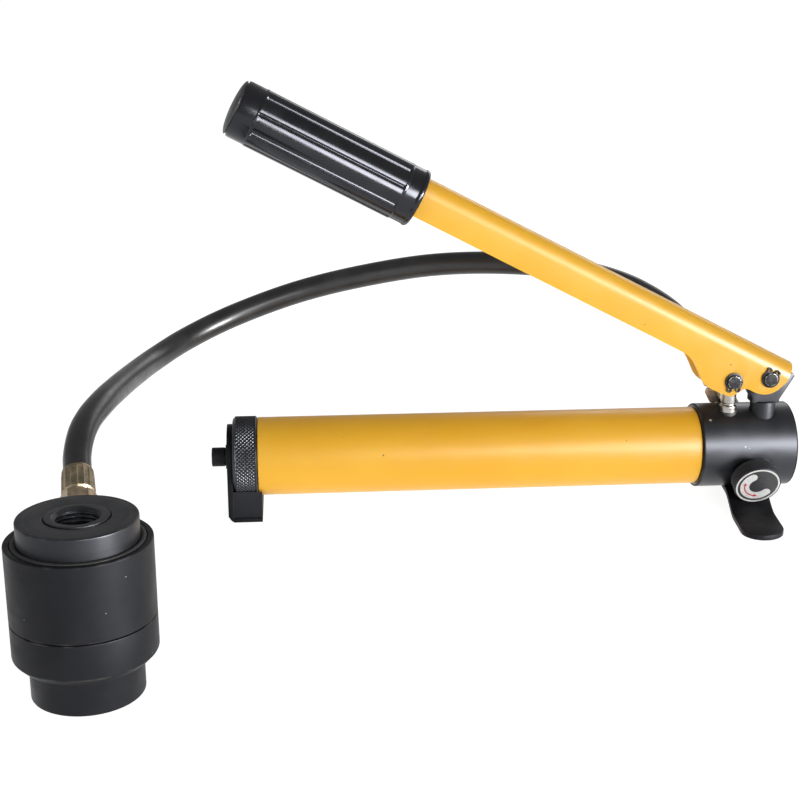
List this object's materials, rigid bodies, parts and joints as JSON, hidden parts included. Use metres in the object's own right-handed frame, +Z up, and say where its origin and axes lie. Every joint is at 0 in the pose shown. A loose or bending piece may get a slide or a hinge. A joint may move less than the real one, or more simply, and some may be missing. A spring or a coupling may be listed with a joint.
{
  "type": "hydraulic hand pump with hose and hollow ram",
  "caption": "Lever-operated hydraulic hand pump with a cylindrical reservoir, a release knob and a hose that feeds a hollow cylindrical ram.",
  "frame": {"origin": "middle of the bounding box on the floor plane, between the pump and the ram", "axes": "+X along the reservoir towards the pump head, +Y from the ram's side to the pump's side, +Z up"},
  "size_m": [0.4378, 0.3272, 0.2595],
  "materials": {
    "yellow_paint": "gloss",
    "black_finish": "satin",
    "black_plastic": "gloss",
    "bright_steel": "ground",
    "dark_steel": "blackened",
    "yellow_zinc": "plated",
    "brass": "machined",
    "black_rubber": "matte",
    "dial_print": "printed"
  },
  "bodies": {
    "pump_frame": {"reservoir_tube": "yellow_paint", "rear_cap": "black_finish", "rear_cap_seal": "black_rubber", "rear_foot": "black_finish", "filler_washer": "black_rubber", "pump_head": "black_finish", "head_tube_seal": "black_rubber", "plunger_seal": "black_rubber", "suction_seat": "brass", "suction_filter": "brass", "delivery_plug": "dark_steel", "delivery_spring": "bright_steel", "front_foot": "black_finish", "foot_screw_1": "dark_steel", "foot_screw_2": "dark_steel", "fulcrum_post": "black_finish", "outlet_adapter": "yellow_zinc", "swivel_nut_pump": "yellow_zinc", "ferrule_pump": "yellow_zinc", "hose": "black_rubber", "ferrule_ram": "yellow_zinc", "swivel_nut_ram": "yellow_zinc", "ram_elbow": "yellow_zinc", "ram_cylinder": "black_finish", "ram_base": "black_finish", "wiper_ring": "black_rubber", "sleeve_nut": "dark_steel", "return_spring": "bright_steel"},
    "hand_lever": {"lever": "yellow_paint", "grip_sleeve": "black_plastic", "grip_end_disc": "black_plastic", "pivot_pin": "dark_steel", "pivot_clip_front": "dark_steel", "pivot_clip_back": "dark_steel", "plunger_pin": "dark_steel", "plunger_clip_front": "dark_steel", "plunger_clip_back": "dark_steel"},
    "plunger": {"pump_plunger": "bright_steel"},
    "release_valve": {"release_knob": "black_finish", "knob_dial": "dial_print", "release_spindle": "bright_steel", "spindle_seal": "black_rubber"},
    "filler": {"filler_plug": "black_finish"},
    "piston": {"ram_piston": "black_finish", "piston_seal": "black_rubber", "draw_insert": "dark_steel"},
    "suction_check": {"suction_ball": "bright_steel"},
    "delivery_check": {"delivery_ball": "bright_steel"}
  },
  "joints": [
    {"name": "lever_pivot", "type": "hinge", "parent": "pump_frame", "child": "hand_lever", "pos_m": [0.1999, 0.08255, 0.0828], "axis": [0, 1, 0], "range_deg": [-26, 7]},
    {"name": "plunger_slide", "type": "slide", "parent": "pump_frame", "child": "plunger", "axis": [0, 0, 1], "range_m": [-0.01, 0.0028]},
    {"name": "release_knob_turn", "type": "hinge", "parent": "pump_frame", "child": "release_valve", "pos_m": [0.1919, 0.09055, 0.0352], "axis": [0, -0.9135, -0.4067], "range_deg": [0, 180]},
    {"name": "filler_plug_turn", "type": "hinge", "parent": "pump_frame", "child": "filler", "pos_m": [-0.1251, 0.09055, 0.0352], "axis": [-1, 0, 0], "range_deg": [0, 360]},
    {"name": "ram_stroke", "type": "slide", "parent": "pump_frame", "child": "piston", "axis": [0, 0, 1], "range_m": [0, 0.018], "stiffness_N_per_m": 1500, "springref_m": -0.012, "deforming": ["return_spring"]},
    {"name": "suction_check_lift", "type": "slide", "parent": "pump_frame", "child": "suction_check", "axis": [1, 0, 0], "range_m": [0, 0.0015]},
    {"name": "delivery_check_lift", "type": "slide", "parent": "pump_frame", "child": "delivery_check", "axis": [1, 0, 0], "range_m": [0, 0.0015], "stiffness_N_per_m": 200, "springref_m": -0.001, "deforming": ["delivery_spring"]}
  ],
  "couplings": [
    {"joint": "plunger_slide", "follows": "lever_pivot", "m_per_rad": 0.0217}
  ]
}
